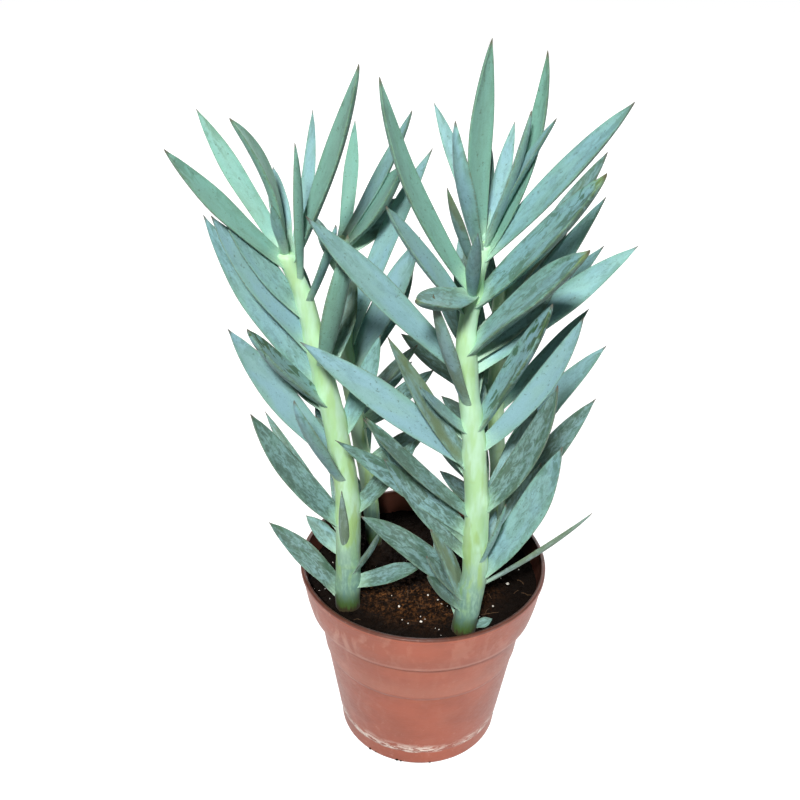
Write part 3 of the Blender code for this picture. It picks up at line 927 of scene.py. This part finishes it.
def lump(subdivisions, draw, roughness):
    """Points and faces of a rough lump about 1 mm in radius."""
    ball = bmesh.new()
    bmesh.ops.create_icosphere(ball, subdivisions=subdivisions, radius=1.0)
    points = [v.co * (1 + draw.uniform(-roughness, roughness)) for v in ball.verts]
    faces = [tuple(v.index for v in face.verts) for face in ball.faces]
    ball.free()
    return points, faces


def clear_of_stems(x, y, room):
    for stem in STEMS.values():
        _, stem_x, stem_y = stem["path"][0]
        if math.hypot(x - stem_x, y - stem_y) < stem["radii"][0] + room:
            return False
    return True


def scattered(count, draw, room):
    """Places on the soil, clear of the stems and of the pot's wall."""
    places = []
    while len(places) < count:
        angle = draw.uniform(0, 2 * math.pi)
        radius = (SOIL_RADIUS - room) * math.sqrt(draw.random())
        x, y = radius * math.cos(angle), radius * math.sin(angle)
        if clear_of_stems(x, y, room):
            places.append((x, y))
    return places


def make_lumps(name, places, draw, material, subdivisions, roughness, squash):
    """One piece of many lumps. Each place is (x, y, radius), and a lump sits a little in the soil."""
    points, faces = [], []
    for x, y, radius in places:
        shape, corners = lump(subdivisions, draw, roughness)
        stretch = Vector((draw.uniform(0.75, 1.3), draw.uniform(0.6, 1.1), squash * draw.uniform(0.7, 1.2)))
        spin = Matrix.Rotation(draw.uniform(0, 2 * math.pi), 3, "Z")
        tilt = Matrix.Rotation(draw.uniform(-0.5, 0.5), 3, "X")
        centre = Vector((x, y, soil_level(x, y) + 0.2 * radius))
        first = len(points)
        points += [centre + spin @ (tilt @ (point * stretch)) * radius for point in shape]
        faces += [tuple(first + i for i in corner) for corner in corners]
    return mesh_piece(name, points, faces, material, crease=LUMP_CREASE)


def make_crumbs(material):
    draw = random.Random(11)
    places = []
    for x, y in scattered(CRUMBS, draw, CRUMB_ROOM):
        places.append((x, y, CRUMB_RADIUS[0] + CRUMB_RADIUS[1] * draw.random() ** 3))
    return make_lumps("soil_crumbs", places, draw, material, subdivisions=1, roughness=0.28, squash=0.7)


def make_grains(material):
    draw = random.Random(23)
    places = [(x, y, size / 2) for x, y, size in GRAINS_SEEN]
    for x, y in scattered(GRAINS_MORE, draw, GRAIN_ROOM):
        places.append((x, y, GRAIN_RADIUS[0] + GRAIN_RADIUS[1] * draw.random() ** 2))
    return make_lumps("white_grains", places, draw, material, subdivisions=2, roughness=0.14, squash=0.85)


def make_dirt(material):
    """Crumbs of soil that stick to the foot of the pot."""
    draw = random.Random(41)
    points, faces = [], []
    for heading, height, size in DIRT:
        shape, corners = lump(2, draw, 0.22)
        angle = math.radians(heading)
        reach = wall_radius(height) - 0.25 * size
        centre = Vector((reach * math.cos(angle), reach * math.sin(angle), height))
        first = len(points)
        points += [centre + point * size / 2 for point in shape]
        faces += [tuple(first + i for i in corner) for corner in corners]
    return mesh_piece("dirt_on_foot", points, faces, material, crease=LUMP_CREASE)


def make_fibres(material):
    """Thin bent bits of root and bark that lie on the soil."""
    draw = random.Random(31)
    points, faces = [], []
    for x, y in scattered(FIBRES, draw, FIBRE_ROOM):
        heading = draw.uniform(0, 2 * math.pi)
        turn = draw.uniform(-0.8, 0.8)
        length = draw.uniform(3.0, 9.0)
        thickness = draw.uniform(0.14, 0.32)
        rings = []
        for i in range(FIBRE_RINGS):
            t = i / (FIBRE_RINGS - 1)
            angle = heading + turn * t
            x += math.cos(angle) * length / (FIBRE_RINGS - 1)
            y += math.sin(angle) * length / (FIBRE_RINGS - 1)
            centre = Vector((x, y, soil_level(x, y) + thickness + 0.5 * math.sin(math.pi * t)))
            side = Vector((-math.sin(angle), math.cos(angle), 0.0))
            reach = thickness * (1.0 - 0.5 * t)
            ring = []
            for k in range(FIBRE_SIDES):
                a = 2 * math.pi * k / FIBRE_SIDES
                ring.append(centre + reach * (side * math.cos(a) + Vector((0, 0, 1)) * math.sin(a)))
            rings.append(ring)
        faces += skin(rings, start=len(points))
        points += joined(rings)
    return mesh_piece("soil_fibres", points, faces, material)


def path_point(path, height):
    """A point on the smooth curve through a stem's path. Below the soil the stem goes straight down."""
    if height <= path[0][0]:
        return Vector((path[0][1], path[0][2], SOIL_HEIGHT + height))
    i = 0
    while i < len(path) - 2 and height > path[i + 1][0]:
        i += 1
    before, start = path[max(i - 1, 0)], path[i]
    end, after = path[i + 1], path[min(i + 2, len(path) - 1)]
    span = end[0] - start[0]
    t = (height - start[0]) / span
    place = []
    for axis in (1, 2):
        leave = span * (end[axis] - before[axis]) / (end[0] - before[0])
        arrive = span * (after[axis] - start[axis]) / (after[0] - start[0])
        place.append(
            (2 * t**3 - 3 * t**2 + 1) * start[axis]
            + (t**3 - 2 * t**2 + t) * leave
            + (3 * t**2 - 2 * t**3) * end[axis]
            + (t**3 - t**2) * arrive
        )
    return Vector((place[0], place[1], SOIL_HEIGHT + height))


def stem_radius(stem, height):
    foot, top = stem["radii"]
    share = min(max(height / stem["path"][-1][0], 0.0), 1.0)
    return foot + (top - foot) * share**2


def width_share(t):
    """A leaf's width at t along it, as a share of its greatest width: a narrow foot and a fine point."""
    if t < LEAF_SHOULDER:
        return LEAF_FOOT_WIDTH + (1 - LEAF_FOOT_WIDTH) * math.sin(math.pi * t / (2 * LEAF_SHOULDER))
    return 1 - ((t - LEAF_SHOULDER) / (1 - LEAF_SHOULDER)) ** LEAF_TAPER_POWER


def leaf_turn(leaf):
    """The turn of a leaf about its own length: leaves that point sideways tip their faces to the front."""
    if leaf.turn is not None:
        return math.radians(leaf.turn)
    return math.radians(LIGHT_TURN) * math.cos(math.radians(leaf.heading))


def far_leaf(leaf):
    """The leaf behind a listed one."""
    heading = math.radians(leaf.heading)
    rise = math.radians(leaf.rise)
    ahead = Vector((math.cos(rise) * math.cos(heading), math.cos(rise) * math.sin(heading), math.sin(rise)))
    lean = math.radians(FAR_LEAN)
    back = Vector((0.0, math.cos(lean), -math.sin(lean)))
    swung = ahead - FAR_SWING * ahead.dot(back) * back
    return Leaf(
        leaf.height - FAR_DROP,
        math.degrees(math.atan2(swung.y, swung.x)),
        math.degrees(math.asin(swung.z / swung.length)),
        leaf.length * swung.length * FAR_SIZE,
        leaf.width * FAR_SIZE,
        leaf.arch,
    )


def leaves_of(stem):
    listed = [Leaf(*row) for row in stem["leaves"]]
    return listed + [far_leaf(listed[i]) for i in stem["far"]]


def leaf_section():
    """(across, down) round a leaf in half widths and thicknesses: channelled above, round below."""
    section = []
    for i in range(LEAF_POINTS):
        angle = 2 * math.pi * i / LEAF_POINTS
        across = math.cos(angle)
        rise = abs(math.sin(angle))
        if math.sin(angle) >= 0:
            section.append((across, LEAF_EDGE * rise**0.6 - (LEAF_EDGE + LEAF_CHANNEL) * rise**2))
        else:
            section.append((across, -(rise**1.5)))
    return section


def leaf_rings(stem, leaf, draw):
    """The rings of one leaf, from its foot in the stem to its tip, and each ring's share of the way."""
    outward = Vector((math.cos(math.radians(leaf.heading)), math.sin(math.radians(leaf.heading)), 0.0))
    sideways = Vector((-outward.y, outward.x, 0.0))
    turn = leaf_turn(leaf)
    start = math.radians(leaf.rise - leaf.arch / 2)
    bend = math.radians(leaf.arch)
    bow = draw.uniform(-1, 1) * LEAF_BOW * leaf.length
    twist = math.radians(draw.uniform(-1, 1) * LEAF_TWIST)
    phases = [draw.uniform(0, 2 * math.pi) for _ in range(4)]
    section = leaf_section()
    point = path_point(stem["path"], leaf.height)
    reached = 0.0
    rings, shares = [], []
    for i in range(LEAF_STATIONS + 1):
        t = math.sin(math.pi * i / (2 * LEAF_STATIONS))
        middle = start + bend * (reached + t) / 2
        ahead = outward * math.cos(middle) + Vector((0, 0, math.sin(middle)))
        point = point + ahead * leaf.length * (t - reached)
        reached = t
        shares.append(t)
        if i == LEAF_STATIONS:
            rings.append([point])
            break
        slope = start + bend * t
        upper = Vector((0, 0, math.cos(slope))) - outward * math.sin(slope)
        roll = turn + twist * math.sin(math.pi * t) * (t - 0.4)
        side = sideways * math.cos(roll) + upper * math.sin(roll)
        face = upper * math.cos(roll) - sideways * math.sin(roll)
        middle_of_ring = point + side * bow * math.sin(math.pi * t)
        share = width_share(t) * (1 - 0.3 * smooth_step(t, 0.9, 1.0))
        half_width = leaf.width / 2 * share
        depth = leaf.width * LEAF_THICKNESS * width_share(t) ** LEAF_THINNING
        ring = []
        for u, v in section:
            phase = phases[0] if u > 0 else phases[1]
            uneven = 1 + LEAF_WAVE * (math.sin(5.2 * t + phase) + 0.5 * math.sin(13 * t + 2 * phase)) * abs(u)
            lift = LEAF_WAVE * 0.5 * leaf.width * u * abs(u) * math.sin(7 * t + phases[2])
            lift *= math.sin(math.pi * t)
            ring.append(middle_of_ring + side * half_width * u * uneven + face * (depth * v + lift))
        rings.append(ring)
    return rings, shares


def looks_of(name, index, draw):
    """The looks of a leaf. The far leaves, which follow the listed ones, are dull and dark as painted shade.
    """
    kind = "plain" if index < len(STEMS[name]["leaves"]) else "shaded_behind"
    for candidate, rows in LOOKS[name].items():
        if index in rows:
            kind = candidate
    looks = KINDS[kind]
    spread = [draw.uniform(-1, 1) for _ in looks]
    return [min(max(value + s * 0.12, 0.0), 1.0) for value, s in zip(looks, spread)]


def note_values(values, rings, places, seed, looks):
    """Add the values of a leaf's points. places holds each ring's share of the way along the leaf, and its
    distance along it and half width in millimetres."""
    section = leaf_section()
    for ring, (along, along_mm, half_width) in zip(rings, places):
        for k in range(len(ring)):
            across = section[k][0] if len(ring) > 1 else 0.0
            row = (along, across, along_mm, across * half_width, seed, *looks)
            for key, value in zip(LEAF_VALUES, row):
                values[key].append(value)


def make_leaves(name, stem, material):
    draw = random.Random(len(stem["leaves"]) * 7 + 5)
    points, faces = [], []
    values = {key: [] for key in LEAF_VALUES}
    for index, leaf in enumerate(leaves_of(stem)):
        rings, shares = leaf_rings(stem, leaf, draw)
        looks = looks_of(name, index, draw)
        seed = draw.uniform(0, 400)
        faces += skin(rings, start=len(points))
        points += joined(rings)
        places = [(t, t * leaf.length, leaf.width / 2 * width_share(t)) for t in shares]
        note_values(values, rings, places, seed, looks)
    return mesh_piece(name.replace("leafy_stem", "leaves"), points, faces, material, values)


def joints_of(stem):
    """(height, heading, width) of the places where leaves leave the surface of the stem."""
    joints = []
    for leaf in leaves_of(stem):
        start = math.radians(leaf.rise - leaf.arch / 2)
        height = leaf.height + stem_radius(stem, leaf.height) * math.tan(min(start, math.radians(75)))
        joints.append((height, math.radians(leaf.heading), leaf.width * 0.6))
    return joints


def turned_from(heading, angle):
    """How far an angle is turned from a heading, between minus and plus half a circle."""
    return (angle - heading + math.pi) % (2 * math.pi) - math.pi


def swelling_at(joints, height, angle, radius):
    """How much the stem swells under its leaves at a height and an angle round it."""
    swelling = 0.0
    for joint_height, heading, width in joints:
        drop = joint_height - height
        if SWELLING_SPAN[0] < drop < SWELLING_SPAN[1]:
            reach = SWELLING_REACH_UP if drop < 0 else SWELLING_REACH_DOWN
            spread = width / radius * SWELLING_SPREAD
            swelling += math.exp(-((drop / reach) ** 2) - (turned_from(heading, angle) / spread) ** 2)
    return min(swelling, SWELLING_MOST)


def scar_at(scars, height, angle):
    """How much of a scar there is at a height and an angle. A scar's line droops at its ends."""
    share = 0.0
    for scar_height, heading in scars:
        turned = turned_from(heading, angle)
        line = scar_height + SCAR_DROOP * math.cos(turned * 1.6) - SCAR_DROOP
        share += math.exp(-(((height - line) / SCAR_WIDTH) ** 2) - (turned / SCAR_HALF_ANGLE) ** 4)
    return share


def make_stem(name, stem, material):
    """The stem, swollen under each leaf, with a few scars of lost leaves low down."""
    draw = random.Random(len(stem["leaves"]) * 3 + 1)
    top = stem["path"][-1][0]
    joints = joints_of(stem)
    scars = [(draw.uniform(8, 0.55 * top), draw.uniform(0, 2 * math.pi)) for _ in range(SCARS)]
    count = math.ceil((top + STEM_DEPTH) / STEM_RING_SPACING)
    heights = [-STEM_DEPTH + (top - TOP_ROUNDING + STEM_DEPTH) * i / count for i in range(count + 1)]
    rings, values = [], {"height_mm": [], "joint": [], "scar": []}
    for height in heights:
        centre = path_point(stem["path"], height)
        radius = stem_radius(stem, height)
        ring = []
        for k in range(STEM_SIDES):
            angle = 2 * math.pi * k / STEM_SIDES
            swelling = swelling_at(joints, height, angle, radius)
            scar = scar_at(scars, height, angle)
            bumpy = STEM_BUMPS * noise.noise(Vector((3 * math.cos(angle), 3 * math.sin(angle), height / 9)))
            out = radius + SWELLING * swelling + bumpy + SCAR_RIDGE * scar
            ring.append(centre + Vector((out * math.cos(angle), out * math.sin(angle), 0.0)))
            values["height_mm"].append(height)
            values["joint"].append(min(swelling, 1.0))
            values["scar"].append(min(scar, 1.0))
        rings.append(ring)
    rings.append([path_point(stem["path"], top)])
    for key, value in (("height_mm", top), ("joint", 0.0), ("scar", 0.0)):
        values[key].append(value)
    return mesh_piece(name.replace("leafy_stem", "stem"), joined(rings), skin(rings), material, values)


def make_fallen_bit(material):
    """The piece of a leaf that lies on the soil at the right. It is coloured as the middle of a leaf is."""
    path = ((0, *FALLEN_BIT_PLACE), (5, *FALLEN_BIT_PLACE))
    rings, shares = leaf_rings({"path": path}, FALLEN_BIT, random.Random(3))
    places = [(0.5 * t, 20 + FALLEN_BIT.length * t, FALLEN_BIT.width / 2) for t in shares]
    values = {key: [] for key in LEAF_VALUES}
    note_values(values, rings, places, FALLEN_BIT_SEED, FALLEN_BIT_LOOKS)
    return mesh_piece("fallen_leaf_bit", joined(rings), skin(rings), material, values)


def add_light(name, place, target, size, power, spread):
    data = bpy.data.lights.new(name, "AREA")
    data.size = size
    data.energy = power
    data.spread = math.radians(spread)
    light = bpy.data.objects.new(name, data)
    light.location = place
    light.rotation_euler = (Vector(target) - Vector(place)).to_track_quat("-Z", "Y").to_euler()
    bpy.context.scene.collection.objects.link(light)


def make_stage(material):
    """A pale floor and a pale wall far round it. They glow for the camera and don't light the plant."""
    half = STAGE_HALF
    corners = [(-half, -half, 0), (half, -half, 0), (half, half, 0), (-half, half, 0)]
    floor = mesh_piece("floor", corners, [(0, 1, 2, 3)], material)
    points = circle(STAGE_RADIUS, 0.0, STAGE_SEGMENTS) + circle(STAGE_RADIUS, STAGE_HEIGHT, STAGE_SEGMENTS)
    faces = []
    for i in range(STAGE_SEGMENTS):
        j = (i + 1) % STAGE_SEGMENTS
        faces.append((i, j, STAGE_SEGMENTS + j, STAGE_SEGMENTS + i))
    backdrop = mesh_piece("backdrop", points, faces, material)
    backdrop.visible_shadow = False
    backdrop.visible_glossy = False
    for piece in (floor, backdrop):
        piece.visible_diffuse = False


def make_studio():
    """The stage, the lights and a faint even glow from all round."""
    make_stage(floor_material())
    for light in LIGHTS:
        add_light(*light)
    world = bpy.data.worlds.new("studio")
    world.use_nodes = True
    world.node_tree.nodes["Background"].inputs["Color"].default_value = (1.0, 1.0, 1.0, 1.0)
    world.node_tree.nodes["Background"].inputs["Strength"].default_value = WORLD_STRENGTH
    bpy.context.scene.world = world
    bpy.context.scene.view_settings.view_transform = "Standard"


def make_camera():
    pitch = math.radians(CAMERA_PITCH)
    yaw = math.radians(CAMERA_YAW)
    ahead = Vector((-math.sin(yaw) * math.cos(pitch), math.cos(yaw) * math.cos(pitch), -math.sin(pitch)))
    right = ahead.cross(Vector((0, 0, 1))).normalized()
    up = right.cross(ahead)
    turn = Matrix((right, up, -ahead)).transposed() @ Matrix.Rotation(math.radians(CAMERA_ROLL), 3, "Z")
    data = bpy.data.cameras.new("camera")
    data.lens = CAMERA_LENS
    data.sensor_width = SENSOR_WIDTH
    camera = bpy.data.objects.new("camera", data)
    camera.matrix_world = Matrix.Translation(CAMERA_PLACE) @ turn.to_4x4()
    bpy.context.scene.collection.objects.link(camera)
    bpy.context.scene.camera = camera


def main():
    make_camera()
    make_studio()

    pot = make_pot(pot_material())
    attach(pot, "root")
    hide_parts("pot")

    soil_paint = soil_material("potting_mix", 0.8)
    crumb_paint = soil_material("potting_mix_crumbs", 1.0)
    soil = make_soil(soil_paint)
    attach(soil, "root")
    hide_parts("soil")
    dirt = make_dirt(crumb_paint)
    crumbs = make_crumbs(crumb_paint)
    grains = make_grains(grain_material())
    fibres = make_fibres(fibre_material())
    for piece in (crumbs, grains, fibres, dirt):
        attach(piece, "root")

    leaf_paint = leaf_material()
    stem_paint = stem_material()
    for name, stem in STEMS.items():
        stalk = make_stem(name, stem, stem_paint)
        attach(stalk, "root")
        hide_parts(name)
        leaves = make_leaves(name, stem, leaf_paint)
        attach(leaves, "root")
    bit = make_fallen_bit(leaf_paint)
    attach(bit, "root")


main()
